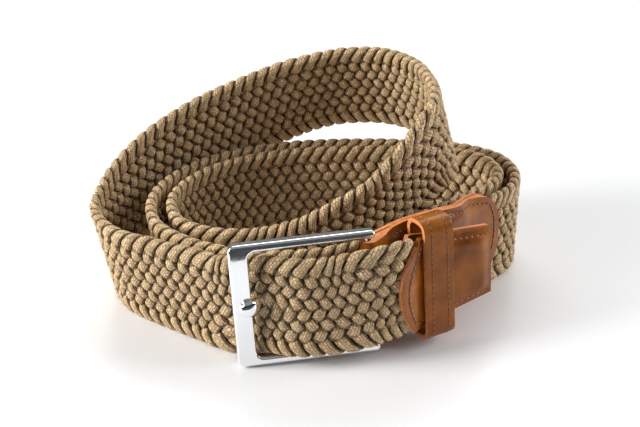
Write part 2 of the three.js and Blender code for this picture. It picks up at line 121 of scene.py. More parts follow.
# The free end's way through the buckle: along, behind the bar, before the pin, rise, lean
BUCKLE_ROWS = [
    (-0.04, 1.72, 0, -0.095, -1), (0.14, 1.00, 0, -0.050, -3), (0.28, 0.00, 0, -0.032, -4),
    (0.43, 0, 0.77, -0.034, -4), (0.71, 0, 0.97, -0.040, -3), (0.98, 0, 1.06, 0.015, -2),
    (1.15, 0, 0.55, 0.015, -1),
]
TAIL_TURN = -21
TAIL_START = (1.29, -0.62, -0.007)
TAIL_LENGTH = 28.5
ROUTE_STEP = 1.0


def unit(v):
    return np.asarray(v, float) / np.linalg.norm(v)


def arc(cx, cy, radius, start, end, count=7):
    return [(cx + radius * math.cos(math.radians(a)), cy + radius * math.sin(math.radians(a)))
            for a in np.linspace(start, end, count)]


def smoothstep(x, low, high):
    t = np.clip((np.asarray(x, float) - low) / (high - low), 0, 1)
    return t * t * (3 - 2 * t)


# The buckle's own axes
UP = np.array([0, 0, 1.0])
turn, lean, tip = (math.radians(a) for a in (BUCKLE_TURN, BUCKLE_LEAN, BUCKLE_TIP))
level_axis = np.array([math.cos(turn), math.sin(turn), 0])
face_axis = np.array([math.sin(turn), -math.cos(turn), 0])
raised_axis = UP * math.cos(lean) + face_axis * math.sin(lean)
BUCKLE_OUT = face_axis * math.cos(lean) - UP * math.sin(lean)
BUCKLE_ALONG = level_axis * math.cos(tip) + raised_axis * math.sin(tip)
BUCKLE_UP = raised_axis * math.cos(tip) - level_axis * math.sin(tip)
BUCKLE_CORNER = np.array([BUCKLE_PLACE[0] * COIL_REACH, BUCKLE_PLACE[1] * COIL_REACH, BUCKLE_PLACE[2]])
FRAME_HEIGHT = STRAP_WIDTH + 2 * OPENING_SLACK + 2 * ARM_HEIGHT
FRAME_MIDDLE = FRAME_HEIGHT / 2
HINGE_ALONG = FRAME_LENGTH - PIN_INSET


def by_buckle(along, out, up):
    along, out, up = np.broadcast_arrays(along, out, up)
    return (BUCKLE_CORNER + along[..., None] * BUCKLE_ALONG + out[..., None] * BUCKLE_OUT
            + up[..., None] * BUCKLE_UP)


LEATHER_HALF = LEATHER + CLEARANCE + STRAP_THICKNESS * PRESSED_SHARE / 2
BEHIND_BAR = -(FRAME_DEPTH / 2 + BAR_SLACK + STRAP_THICKNESS / 2)
WRAP_RADIUS = PIN_RADIUS + CLEARANCE + LEATHER
BEFORE_PIN = WRAP_RADIUS + CLEARANCE + STRAP_THICKNESS / 2
STACK_DEPTH = 2 * LEATHER_HALF + 3 * CLEARANCE + KEEPER_WALL + KEEPER_SLACK


def tail_place(distance, back):
    angle = math.radians(TAIL_TURN)
    along = TAIL_START[0] * FRAME_LENGTH + distance * math.cos(angle) + back * math.sin(angle)
    out = TAIL_START[1] * BEFORE_PIN + distance * math.sin(angle) - back * math.cos(angle)
    return by_buckle(along, out, FRAME_MIDDLE + TAIL_START[2] * STRAP_WIDTH)


def coil_row(across, back, rise, lean_deg):
    angle = math.radians(lean_deg)
    z = rise * STRAP_WIDTH + STRAP_WIDTH / 2 * math.cos(angle) + STRAP_EDGE_FLAT / 2 * abs(math.sin(angle))
    return [across * COIL_REACH, back * COIL_REACH, z, lean_deg]


def buckle_row(along, behind, before, rise, lean_deg):
    out = before * BEFORE_PIN + behind * BEHIND_BAR
    return [*by_buckle(along * FRAME_LENGTH, out, FRAME_MIDDLE + rise * STRAP_WIDTH), lean_deg]


tail_facing = unit(np.cross(tail_place(1, 0) - tail_place(0, 0), UP))
TAIL_LEAN = math.degrees(math.asin(BUCKLE_UP @ tail_facing))
ROWS = [[*by_buckle(HINGE_ALONG, 0, FRAME_MIDDLE), TAIL_LEAN]]
ROWS += [[*tail_place(KEEPER_AT + share * KEEPER_WIDTH, STACK_DEPTH), TAIL_LEAN] for share in (-0.5, 0.5)]
ROWS += [coil_row(*row) for row in COIL_ROWS]
ROWS += [buckle_row(*row) for row in BUCKLE_ROWS]
ROWS += [[*tail_place(share * TAIL_LENGTH, 0), TAIL_LEAN] for share in (0, 0.5, 1)]


def route_through(rows):
    rows = np.array(rows, float)
    knots = np.concatenate([[0], np.cumsum(np.hypot(*np.diff(rows[:, :2], axis=0).T))])
    spans = np.diff(knots)[:, None]
    chords = np.diff(rows, axis=0) / spans
    slopes = np.empty_like(rows)
    slopes[0], slopes[-1] = chords[0], chords[-1]
    slopes[1:-1] = (chords[:-1] * spans[1:] + chords[1:] * spans[:-1]) / (spans[1:] + spans[:-1])
    at = np.linspace(0, knots[-1], math.ceil(knots[-1] / ROUTE_STEP) + 1)
    i = np.clip(np.searchsorted(knots, at, side="left") - 1, 0, len(rows) - 2)
    h = spans[i]
    u = ((at - knots[i])[:, None]) / h
    value = ((2 * u**3 - 3 * u**2 + 1) * rows[i] + (u**3 - 2 * u**2 + u) * h * slopes[i]
             + (3 * u**2 - 2 * u**3) * rows[i + 1] + (u**3 - u**2) * h * slopes[i + 1])
    place, lean_deg = value[:, :3], value[:, 3]
    length = np.concatenate([[0], np.cumsum(np.linalg.norm(np.diff(place, axis=0), axis=1))])
    order = np.arange(len(at))
    tangent = place[np.minimum(order + 1, len(at) - 1)] - place[np.maximum(order - 1, 0)]
    tangent /= np.linalg.norm(tangent, axis=1)[:, None]
    return length, place, tangent, lean_deg


LENGTHS, PLACES, TANGENTS, LEANS = route_through(ROWS)
ROUTE_LENGTH = LENGTHS[-1]
TIP_FROM = ROUTE_LENGTH - TIP_LENGTH


def strap_axes(u):
    tangent = np.stack([np.interp(u, LENGTHS, TANGENTS[:, k]) for k in range(3)], -1)
    tangent /= np.linalg.norm(tangent, axis=-1)[..., None]
    angle = np.radians(np.interp(u, LENGTHS, LEANS))[..., None]
    facing = np.cross(tangent, UP)
    facing /= np.linalg.norm(facing, axis=-1)[..., None]
    upright = np.cross(facing, tangent)
    cos, sin = np.cos(angle), np.sin(angle)
    return tangent, cos * upright + sin * facing, cos * facing - sin * upright


def strap_point(u, v, w):
    """A place by distance along the route, across the strap and out of its face."""
    u, v, w = np.broadcast_arrays(*(np.asarray(a, float) for a in (u, v, w)))
    tangent, across, normal = strap_axes(u)
    place = np.stack([np.interp(u, LENGTHS, PLACES[:, k]) for k in range(3)], -1)
    beyond = np.where(u < 0, u, np.where(u > ROUTE_LENGTH, u - ROUTE_LENGTH, 0))
    return place + beyond[..., None] * tangent + v[..., None] * across + w[..., None] * normal


# The keeper is a plain loop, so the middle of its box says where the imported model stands
tail_along = unit(tail_place(TAIL_LENGTH, 0) - tail_place(0, 0))
tail_back = unit(tail_place(0, 1) - tail_place(0, 0))
keeper_up = unit(np.cross(tail_back, tail_along))
keeper_side = unit(np.cross(keeper_up, tail_along))
keeper_middle = tail_place(KEEPER_AT, KEEPER_SLACK / 2)
keeper_low, keeper_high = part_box("keeper_loop")
SHIFT = (np.array(keeper_low) + np.array(keeper_high)) / 2 / MM - keeper_middle


def world(points):
    return (np.asarray(points, float) + SHIFT) * MM


# Camera, at the photograph's angle
PHOTO_WIDTH = 640
FOCAL_PIXELS = 1254
SENSOR = 36
CAMERA_RISE = math.radians(28)
CAMERA_DISTANCE = 440
CAMERA_TARGET = (0, 0, 30)
CAMERA_NEAR = 0.01

camera_data = bpy.data.cameras.new("camera")
camera_data.sensor_width = SENSOR
camera_data.lens = SENSOR * FOCAL_PIXELS / PHOTO_WIDTH
camera_data.clip_start = CAMERA_NEAR
camera_data.dof.use_dof = False
camera = bpy.data.objects.new("camera", camera_data)
bpy.context.scene.collection.objects.link(camera)
target = Vector(world(CAMERA_TARGET))
away = Vector((0, -math.cos(CAMERA_RISE), math.sin(CAMERA_RISE)))
camera.location = target + away * CAMERA_DISTANCE * MM
camera.rotation_euler = away.to_track_quat("Z", "Y").to_euler()
bpy.context.scene.camera = camera


# Materials
MIX_FIRST = 6
MIX_SECOND = 7
MIX_RESULT = 2
STITCH_LENGTH = 1.3
STITCH_WIDTH = 0.82
STITCH_GAP = 0.14
STITCH_WANDER = 0.5
STITCH_OFFSET = 0.42
STITCH_DEPTH = 0.3 * MM
STITCH_PALE = (0.91, 0.655, 0.375, 1)
STITCH_DARK = (0.58, 0.40, 0.205, 1)
STITCH_SHADE = (0.22, 0.135, 0.062, 1)
LEATHER_DEPTH = 0.3 * MM
CHROME_DEPTH = 0.1 * MM
THREAD_DEPTH = 0.2 * MM


def new_material(name):
    material = bpy.data.materials.new(name)
    material.use_nodes = True
    tree = material.node_tree
    tree.nodes.clear()
    output = tree.nodes.new("ShaderNodeOutputMaterial")
    shader = tree.nodes.new("ShaderNodeBsdfPrincipled")
    tree.links.new(shader.outputs["BSDF"], output.inputs["Surface"])
    return material, tree, shader


def node(tree, kind, inputs=None, **settings):
    made = tree.nodes.new(kind)
    for key, value in settings.items():
        setattr(made, key, value)
    for key, value in (inputs or {}).items():
        if isinstance(value, bpy.types.NodeSocket):
            tree.links.new(value, made.inputs[key])
        else:
            made.inputs[key].default_value = value
    return made


def ramp(tree, source, stops):
    made = node(tree, "ShaderNodeValToRGB", {"Fac": source})
    elements = made.color_ramp.elements
    while len(elements) < len(stops):
        elements.new(0.5)
    for element, (position, colour) in zip(elements, stops):
        element.position = position
        element.color = (*colour, 1)
    return made.outputs["Color"]


def grey(value):
    return (value, value, value)


def maths(tree, operation, *values):
    return node(tree, "ShaderNodeMath", dict(enumerate(values)), operation=operation).outputs[0]


def blend(tree, blend_type, first, second):
    colours = {"Factor": 1.0, MIX_FIRST: first, MIX_SECOND: second}
    made = node(tree, "ShaderNodeMix", colours, data_type="RGBA", blend_type=blend_type)
    return made.outputs[MIX_RESULT]


def braid_material(name, shift):
    """Knitted cord: columns of small stitches along each strand, with painted shade at its sides and on its
    slopes into the weave.
    """
    material, tree, shader = new_material(name)
    uv = node(tree, "ShaderNodeUVMap", uv_map="strand").outputs["UV"]
    place = {"Vector": uv, "Location": (shift, STITCH_OFFSET, 0)}
    moved = node(tree, "ShaderNodeMapping", place).outputs["Vector"]
    wander = node(tree, "ShaderNodeTexNoise", {"Vector": moved, "Scale": 0.9, "Detail": 1},
                  noise_dimensions="2D")
    bent = node(tree, "ShaderNodeVectorMath", {0: wander.outputs["Color"], "Scale": STITCH_WANDER},
                operation="SCALE")
    knit = node(tree, "ShaderNodeVectorMath", {0: moved, 1: bent.outputs[0]}, operation="ADD").outputs[0]
    stitches = node(tree, "ShaderNodeTexBrick", {
        "Vector": knit, "Color1": STITCH_PALE, "Color2": STITCH_DARK, "Mortar": STITCH_SHADE,
        "Scale": 1.0, "Mortar Size": STITCH_GAP, "Mortar Smooth": 1.0, "Bias": -0.1,
        "Brick Width": STITCH_LENGTH, "Row Height": STITCH_WIDTH}, offset=0.5)
    yarn = node(tree, "ShaderNodeTexNoise", {"Vector": moved, "Scale": 3.1, "Detail": 3, "Roughness": 0.7},
                noise_dimensions="2D")
    speckle = ramp(tree, yarn.outputs["Fac"], [(0.35, grey(0.72)), (0.6, grey(1.0)), (0.72, grey(1.25))])
    # Painted shade: darker towards the cord's sides, and darker on its slopes between crossings, where it
    # sinks into the weave.
    across = maths(tree, "ABSOLUTE", node(tree, "ShaderNodeSeparateXYZ", {"Vector": uv}).outputs["Y"])
    side = ramp(tree, maths(tree, "DIVIDE", across, CORD_HALF_WIDTH), [(0.55, grey(1)), (0.98, grey(0.36))])
    exposed = node(tree, "ShaderNodeUVMap", uv_map="weave").outputs["UV"]
    exposed = node(tree, "ShaderNodeSeparateXYZ", {"Vector": exposed}).outputs["X"]
    painted_crossing_shade = ramp(tree, exposed, [(0.0, grey(0.10)), (0.45, grey(1))])
    spotted = blend(tree, "MULTIPLY", stitches.outputs["Color"], speckle)
    shaded = blend(tree, "MULTIPLY", spotted, blend(tree, "MULTIPLY", side, painted_crossing_shade))
    tree.links.new(shaded, shader.inputs["Base Color"])
    height = maths(tree, "SUBTRACT", 1.0, stitches.outputs["Fac"])
    bump = node(tree, "ShaderNodeBump", {"Height": height, "Strength": 0.7, "Distance": STITCH_DEPTH})
    tree.links.new(bump.outputs["Normal"], shader.inputs["Normal"])
    shader.inputs["Roughness"].default_value = 0.7
    shader.inputs["Specular IOR Level"].default_value = 0.3
    return material


def leather_material():
    """Polished chestnut leather: fine grain, uneven dye and a clear gloss."""
    material, tree, shader = new_material("chestnut_leather")
    where = node(tree, "ShaderNodeTexCoord").outputs["Object"]
    cloud = node(tree, "ShaderNodeTexNoise", {"Vector": where, "Scale": 90, "Detail": 4, "Roughness": 0.6})
    colour = ramp(tree, cloud.outputs["Fac"], [
        (0.30, (0.155, 0.040, 0.003)), (0.52, (0.265, 0.078, 0.006)), (0.75, (0.40, 0.135, 0.012))])
    tree.links.new(colour, shader.inputs["Base Color"])
    grain = node(tree, "ShaderNodeTexVoronoi", {"Vector": where, "Scale": 1300})
    crease = node(tree, "ShaderNodeTexNoise", {"Vector": where, "Scale": 260, "Detail": 5})
    shares = {"Factor": 0.5, "A": grain.outputs["Distance"], "B": crease.outputs["Fac"]}
    relief = node(tree, "ShaderNodeMix", shares, data_type="FLOAT").outputs["Result"]
    bump = node(tree, "ShaderNodeBump", {"Height": relief, "Strength": 0.25, "Distance": LEATHER_DEPTH})
    tree.links.new(bump.outputs["Normal"], shader.inputs["Normal"])
    rough = ramp(tree, cloud.outputs["Fac"], [(0.3, grey(0.26)), (0.7, grey(0.38))])
    tree.links.new(rough, shader.inputs["Roughness"])
    shader.inputs["Specular IOR Level"].default_value = 0.12
    shader.inputs["Coat Weight"].default_value = 0.3
    shader.inputs["Coat Roughness"].default_value = 0.07
    return material


def raw_edge_material():
    """Cut edge of the leather: matt, orange tan and fibrous."""
    material, tree, shader = new_material("raw_leather_edge")
    where = node(tree, "ShaderNodeTexCoord").outputs["Object"]
    fibre = node(tree, "ShaderNodeTexNoise", {"Vector": where, "Scale": 700, "Detail": 4, "Roughness": 0.7})
    colour = ramp(tree, fibre.outputs["Fac"], [
        (0.28, (0.52, 0.150, 0.040)), (0.52, (0.82, 0.285, 0.090)), (0.78, (0.95, 0.44, 0.18))])
    tree.links.new(colour, shader.inputs["Base Color"])
    relief = {"Height": fibre.outputs["Fac"], "Strength": 0.5, "Distance": LEATHER_DEPTH}
    bump = node(tree, "ShaderNodeBump", relief)
    tree.links.new(bump.outputs["Normal"], shader.inputs["Normal"])
    shader.inputs["Roughness"].default_value = 0.6
    return material


def chrome_material():
    """Polished plate, with the faint haze and hairlines that handling leaves."""
    material, tree, shader = new_material("polished_chrome")
    where = node(tree, "ShaderNodeTexCoord").outputs["Object"]
    haze = node(tree, "ShaderNodeTexNoise", {"Vector": where, "Scale": 60, "Detail": 3})
    rough = ramp(tree, haze.outputs["Fac"], [(0.35, grey(0.03)), (0.75, grey(0.09))])
    tree.links.new(rough, shader.inputs["Roughness"])
    tint = ramp(tree, haze.outputs["Fac"], [(0.3, (0.88, 0.89, 0.91)), (0.7, (0.93, 0.935, 0.945))])
    tree.links.new(tint, shader.inputs["Base Color"])
    hairs = node(tree, "ShaderNodeTexNoise", {"Vector": where, "Scale": 900, "Detail": 2})
    relief = {"Height": hairs.outputs["Fac"], "Strength": 0.04, "Distance": CHROME_DEPTH}
    bump = node(tree, "ShaderNodeBump", relief)
    tree.links.new(bump.outputs["Normal"], shader.inputs["Normal"])
    shader.inputs["Metallic"].default_value = 1.0
    return material


def thread_material():
    material, tree, shader = new_material("waxed_thread")
    where = node(tree, "ShaderNodeTexCoord").outputs["Object"]
    twist = node(tree, "ShaderNodeTexNoise", {"Vector": where, "Scale": 1500, "Detail": 2})
    colour = ramp(tree, twist.outputs["Fac"], [(0.3, (0.24, 0.085, 0.03)), (0.7, (0.52, 0.24, 0.10))])
    tree.links.new(colour, shader.inputs["Base Color"])
    relief = {"Height": twist.outputs["Fac"], "Strength": 0.5, "Distance": THREAD_DEPTH}
    bump = node(tree, "ShaderNodeBump", relief)
    tree.links.new(bump.outputs["Normal"], shader.inputs["Normal"])
    shader.inputs["Roughness"].default_value = 0.45
    return material


def hole_material():
    # Near-black lumps at each end of a stitch: painted shade standing for the depth of the punched holes.
    material, tree, shader = new_material("stitch_hole")
    where = node(tree, "ShaderNodeTexCoord").outputs["Object"]
    hole_shade_mottle = node(tree, "ShaderNodeTexNoise", {"Vector": where, "Scale": 800})
    colour = ramp(tree, hole_shade_mottle.outputs["Fac"], [(0.3, (0.020, 0.008, 0.004)), (0.7, (0.050, 0.018, 0.008))])
    tree.links.new(colour, shader.inputs["Base Color"])
    shader.inputs["Roughness"].default_value = 0.8
    return material


LEATHER_LOOK = leather_material()
RAW_EDGE = raw_edge_material()
CHROME = chrome_material()
THREAD = thread_material()
HOLE = hole_material()


# Meshes

def add_piece(name, points, faces, materials, uvs=None, indices=None, smooth=True):
    mesh = bpy.data.meshes.new(name)
    mesh.from_pydata(world(points).tolist(), [], faces)
    for material in materials:
        mesh.materials.append(material)
    if indices is not None:
        mesh.polygons.foreach_set("material_index", indices)
    mesh.polygons.foreach_set("use_smooth", [smooth] * len(mesh.polygons))
    for layer_name, values in (uvs or {}).items():
        layer = mesh.uv_layers.new(name=layer_name)
        loops = np.empty(len(mesh.loops), int)
        mesh.loops.foreach_get("vertex_index", loops)
        layer.data.foreach_set("uv", np.asarray(values, float)[loops].ravel())
    mesh.validate()
    mesh.update()
    piece = bpy.data.objects.new(name, mesh)
    bpy.context.scene.collection.objects.link(piece)
    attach(piece, "root")
    return piece


def ring_faces(rings, count, closed_rings=False):
    """Faces over rings of points that follow one another."""
    faces = []
    for r in range(rings if closed_rings else rings - 1):
        a, b = r * count, (r + 1) % rings * count
        for j in range(count):
            k = (j + 1) % count
            faces.append((a + j, b + j, b + k, a + k))
    if not closed_rings:
        faces.append(tuple(range(count)))
        faces.append(tuple(reversed(range((rings - 1) * count, rings * count))))
    return faces


def apply_modifiers(piece, modifiers):
    for kind, settings in modifiers:
        made = piece.modifiers.new(kind.lower(), kind)
        for key, value in settings.items():
            setattr(made, key, value)
    bpy.context.view_layer.update()
    graph = bpy.context.evaluated_depsgraph_get()
    mesh = bpy.data.meshes.new_from_object(piece.evaluated_get(graph))
    piece.modifiers.clear()
    old = piece.data
    piece.data = mesh
    mesh.name = piece.name
    bpy.data.meshes.remove(old)
    return piece


# Braid: nine flat cords, each over one and under one, turned over the strap's edges
CORDS = 9
CORD_ADVANCE = 2.33
CORD_RISE = 0.95
CORD_HALF_THICKNESS = 1.02
CORD_HALF_WIDTH = 1.82
CORD_WIDENING = 0.3
CORD_STEP = 0.9
CORD_TURN_STEP = 0.5
CORD_SLANT = 1.5
CORD_SLANT_REACH = 3.2
CORD_TOP_POINTS = 9
CORD_BACK_POINTS = 5
CORD_CROWN = 2.3
CORD_ROUNDNESS = 2.1
CORD_SWAY = 0.14
CORD_SWAY_STATIONS = 8
CORD_UNEVENNESS = 0.05
WAVE_FULLNESS = 0.14
STITCH_SHIFT = 37.3
INSIDE_TAB = 18
INSIDE_TIP = 8
TURN_MIDDLE = STRAP_WIDTH / 2 - CORD_HALF_THICKNESS - CORD_RISE + CORD_WIDENING
TRAVERSE = 2 * TURN_MIDDLE + math.pi * CORD_RISE
TRAVERSE_ADVANCE = CORDS * CORD_ADVANCE
CORD_SPAN = math.hypot(TRAVERSE, TRAVERSE_ADVANCE)
CORD_COS = TRAVERSE_ADVANCE / CORD_SPAN
CORD_SIN = TRAVERSE / CORD_SPAN
BRAID_FROM = TAB_LENGTH - INSIDE_TAB
BRAID_TO = TIP_FROM + TIP_ROUNDING + INSIDE_TIP

SWAY_SEED = 4
draw = random.Random(SWAY_SEED)


def cord_section():
    """Places across a cord and out of it, round its outline: a plump oval."""
    top = np.cos(np.linspace(0, math.pi, CORD_TOP_POINTS))
    back = np.linspace(-1, 1, CORD_BACK_POINTS + 2)[1:-1]
    across = np.concatenate([top, back])
    crown = np.maximum(1 - np.abs(across) ** CORD_CROWN, 0) ** (1 / CORD_ROUNDNESS)
    side = np.where(np.arange(len(across)) < len(top), 1, -1)
    return across * CORD_HALF_WIDTH, side * crown * CORD_HALF_THICKNESS


def cord_stations(start, end):
    """Distances along a cord from start to end, closer together where it turns over an edge."""
    out = []
    at = start
    near = (math.pi * CORD_RISE / 2 + CORD_HALF_WIDTH * CORD_COS) / CORD_SIN
    while at < end:
        out.append(at)
        from_turn = abs((at / CORD_SPAN + 0.5) % 1 - 0.5) * CORD_SPAN
        at += CORD_TURN_STEP if from_turn < near else CORD_STEP
    out.append(end)
    return np.array(out)


def pressing(u):
    into_tab = smoothstep(TAB_LENGTH - u, 0, PRESSING_LENGTH)
    into_tip = smoothstep(u - TIP_FROM, TIP_SEAM, TIP_SEAM + TIP_ROUNDING)
    return np.maximum(into_tab, into_tip)


def width_share(u):
    share = (np.maximum(u, TIP_FROM) - TIP_FROM) / TIP_LENGTH
    tip_limit = TIP_ROOT_HEIGHT + (TIP_END_HEIGHT - TIP_ROOT_HEIGHT) * share
    limit = np.where(u > ROUTE_LENGTH / 2, tip_limit, TAB_HEIGHT)
    return 1 + ((limit - 2 * TIP_SEAM) / STRAP_WIDTH - 1) * pressing(u)


# Where the prong goes through the braid, its cords stand apart
PRONG_ALONG = 0.215
PRONG_AT = ROUTE_LENGTH - TAIL_LENGTH - (TAIL_START[0] - PRONG_ALONG) * FRAME_LENGTH
PRONG_PART = 1.5
PRONG_PART_LENGTH = 5.5
PRONG_PART_HEIGHT = 7
PRONG_PART_SLIT = 1.2


def braid_cord(index):
    offset_b, offset_t = cord_section()
    count = len(offset_b)
    phase = index * 2 * CORD_ADVANCE
    stations = cord_stations((BRAID_FROM + phase) / CORD_COS, (BRAID_TO + phase) / CORD_COS)
    traverse = np.floor(stations / CORD_SPAN)
    sign = np.where(traverse % 2 == 0, 1.0, -1.0)[:, None]
    local = stations - traverse * CORD_SPAN
    crossing = local / CORD_SPAN * CORDS
    wave = np.cos(math.pi * crossing)
    wave = np.where(crossing < 1, -1, np.where(crossing > CORDS - 1, 1, wave))
    rise = CORD_RISE * (wave + WAVE_FULLNESS * (wave - wave**3))[:, None]
    drawn = [draw.uniform(-1, 1) for _ in range(len(stations) // CORD_SWAY_STATIONS + 2)]
    sway = np.interp(np.arange(len(stations)) / CORD_SWAY_STATIONS, np.arange(len(drawn)), drawn)[:, None]
    across = local[:, None] * CORD_SIN + (offset_b + CORD_SWAY * sway) * CORD_COS
    u = stations[:, None] * CORD_COS - phase - offset_b * CORD_SIN
    past_edge = np.where(across > TRAVERSE / 2, across - TRAVERSE, across)
    u = u + CORD_SLANT * past_edge / CORD_SLANT_REACH * np.exp(-(past_edge / CORD_SLANT_REACH) ** 2 / 2)
    half_turn = math.pi * CORD_RISE / 2
    late = (across - (TRAVERSE - half_turn)) / CORD_RISE
    early = (half_turn - across) / CORD_RISE
    turned = np.where(late > 0, late, early)
    turning = turned > 0
    angle = np.clip(turned, 0, math.pi)
    past = np.maximum(turned - math.pi, 0) * CORD_RISE
    side = np.where(late > 0, 1.0, -1.0)
    v = np.where(turning, sign * side * (TURN_MIDDLE + CORD_RISE * np.sin(angle) - past),
                 sign * (across - TRAVERSE / 2))
    w = np.where(turning, side * CORD_RISE * np.cos(angle), rise)
    normal_w = np.where(turning, sign * np.cos(angle), sign)
    normal_v = np.where(turning, np.sin(angle), 0)
    thickness = offset_t * (1 + CORD_UNEVENNESS * sway)
    v = v + thickness * normal_v
    w = w + thickness * normal_w
    spread = np.exp(-((u - PRONG_AT) / PRONG_PART_LENGTH) ** 2 - (v / PRONG_PART_HEIGHT) ** 2)
    v = v + np.tanh(v / PRONG_PART_SLIT) * PRONG_PART * spread
    pressed = pressing(u)
    v = v * width_share(u)
    w = w * (1 + (PRESSED_SHARE - 1) * pressed)
    points = strap_point(u, v, w)
    strand = np.stack(np.broadcast_arrays(stations[:, None], offset_b), -1)
    # The weave map carries how far the cord stands out of the weave, which drives its painted shade on the
    # slopes between crossings.
    weave = np.stack(np.broadcast_arrays(np.abs(wave)[:, None], offset_b), -1)
    faces = ring_faces(len(stations), count)
    material = braid_material(f"knitted_cord_{index + 1}", index * STITCH_SHIFT)
    return add_piece(f"braid_cord_{index + 1}", points.reshape(-1, 3), faces, [material],
                     uvs={"strand": strand.reshape(-1, 2), "weave": weave.reshape(-1, 2)})


CORE_HALF_WIDTH = 15
CORE_HALF_THICKNESS = 0.25
CORE_STEP = 2.5


def braid_shade_sheet():
    """A near-black sheet inside the braid, seen only in the gaps between its cords: painted shade for the
    shadow between them.
    """
    material, tree, shader = new_material("painted_braid_shade")
    where = node(tree, "ShaderNodeTexCoord").outputs["Object"]
    shade_mottle = node(tree, "ShaderNodeTexNoise", {"Vector": where, "Scale": 900})
    colour = ramp(tree, shade_mottle.outputs["Fac"], [(0.3, (0.030, 0.020, 0.012)), (0.7, (0.075, 0.052, 0.032))])
    tree.links.new(colour, shader.inputs["Base Color"])
    shader.inputs["Roughness"].default_value = 0.9
    stations = np.arange(BRAID_FROM, BRAID_TO, CORE_STEP)
    half = CORE_HALF_WIDTH * width_share(stations)
    rings = []
    for v, w in ((1, 1), (-1, 1), (-1, -1), (1, -1)):
        rings.append(strap_point(stations, v * half, w * CORE_HALF_THICKNESS))
    rings = np.stack(rings, axis=1)
    return add_piece("braid_shade_sheet", rings.reshape(-1, 3), ring_faces(len(stations), 4), [material])


for piece in [braid_cord(index) for index in range(CORDS)] + [braid_shade_sheet()]:
    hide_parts("braided_strap")


# Leather sheets: a grid of places on the middle of the sheet, given its thickness and a raw cut edge
PANEL_THICKNESS = 1.4
PANEL_FULL = LEATHER_HALF - PANEL_THICKNESS / 2
PANEL_SEAM = PANEL_THICKNESS / 2 + 0.05
PANEL_PADDING = (0.6, 5.0)
EDGE_BEVEL = 0.28
EDGE_SEGMENTS = 2
EDGE_ANGLE = math.radians(50)


def sheet(name, grid, thickness, closed=False, skip=None, folded=None):
    rows, count = grid.shape[:2]
    faces = []
    for i in range(rows if closed else rows - 1):
        k = (i + 1) % rows
        for j in range(count - 1):
            if skip is None or not skip(i, j):
                faces.append((i * count + j, k * count + j, k * count + j + 1, i * count + j + 1))
    piece = add_piece(name, grid.reshape(-1, 3), faces, [LEATHER_LOOK, RAW_EDGE])
    apply_modifiers(piece, [
        ("SOLIDIFY", {"thickness": thickness * MM, "offset": 0, "material_offset_rim": 1,
                      "use_even_offset": True}),
        ("BEVEL", {"width": EDGE_BEVEL * MM, "segments": EDGE_SEGMENTS, "limit_method": "ANGLE",
                   "angle_limit": EDGE_ANGLE}),
        ("WEIGHTED_NORMAL", {"keep_sharp": True})])
    if folded is not None:
        for face in piece.data.polygons:
            if folded(np.array(face.center) / MM - SHIFT):
                face.material_index = 0
    return piece


def panel_half(level, height, open_amount):
    """How far a panel's middle stands from the strap's: full over the strap, close at a sewn border."""
    inward = (1 - np.abs(level)) * height / 2
    border = PANEL_SEAM + (PANEL_FULL - PANEL_SEAM) * open_amount
    return border + (PANEL_FULL - border) * smoothstep(inward, *PANEL_PADDING)


LEVEL_COUNT = 41
LEVELS = np.sin(np.linspace(-math.pi / 2, math.pi / 2, LEVEL_COUNT))

# Tab: where its layers close behind the pin, and where they open for the strap
TAB_ROWS = 30
TAB_WRAP_ROWS = 12
TAB_CLOSING = (2, 13)
TAB_OPENING = (46, 56)
SLOT_BEFORE_WRAP = 3
SLOT_SLACK = 0.8


def tab_end(level):
    return TAB_LENGTH - TAB_ROUNDING * (1 - np.sqrt(np.maximum(1 - level**2, 0)))


def tab_half(u, level):
    open_amount = np.maximum(1 - smoothstep(u, *TAB_CLOSING), smoothstep(u, *TAB_OPENING))
    return panel_half(level, TAB_HEIGHT, open_amount)


def tab_grid():
    rows = []
    for share in np.linspace(1, 0, TAB_ROWS):
        u = share * tab_end(LEVELS)
        rows.append(strap_point(u, LEVELS * TAB_HEIGHT / 2, tab_half(u, LEVELS)))
    for angle in np.linspace(0, math.pi, TAB_WRAP_ROWS)[1:-1]:
        behind, out = -PANEL_FULL * math.sin(angle), PANEL_FULL * math.cos(angle)
        rows.append(strap_point(behind, LEVELS * TAB_HEIGHT / 2, out))
    for share in np.linspace(0, 1, TAB_ROWS):
        u = share * tab_end(LEVELS)
        rows.append(strap_point(u, LEVELS * TAB_HEIGHT / 2, -tab_half(u, LEVELS)))
    return np.array(rows)


def prong_slot(i, j):
    from_middle = abs(LEVELS[j] + LEVELS[j + 1]) / 2 * TAB_HEIGHT / 2
    return (TAB_ROWS - SLOT_BEFORE_WRAP <= i <= TAB_ROWS + TAB_WRAP_ROWS
            and from_middle < PRONG_HEIGHT / 2 + SLOT_SLACK)


tab = sheet("leather_tab", tab_grid(), PANEL_THICKNESS, skip=prong_slot)
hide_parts("buckle_tab")


EDGE_LEVEL = 0.985
EDGE_ROWS = 60
EDGE_START = -0.5
EDGE_INSET = 0.1
EDGE_DEPTH = 0.8


def tab_edge(name, side):
    """The cut edge between the tab's two layers, along its top or its bottom."""
    near = side * EDGE_LEVEL * TAB_HEIGHT / 2
    deep = near - side * EDGE_DEPTH
    rings = []
    for u in np.linspace(EDGE_START, tab_end(EDGE_LEVEL), EDGE_ROWS):
        half = float(tab_half(np.array(u), np.array(1.0))) + PANEL_THICKNESS / 2 - EDGE_INSET
        for w, v in ((half, near), (-half, near), (-half, deep), (half, deep)):
            rings.append(strap_point(u, v, w))
    return add_piece(name, np.array(rings), ring_faces(EDGE_ROWS, 4), [RAW_EDGE], smooth=False)


tab_edge("tab_edge_top", 1)
tab_edge("tab_edge_bottom", -1)


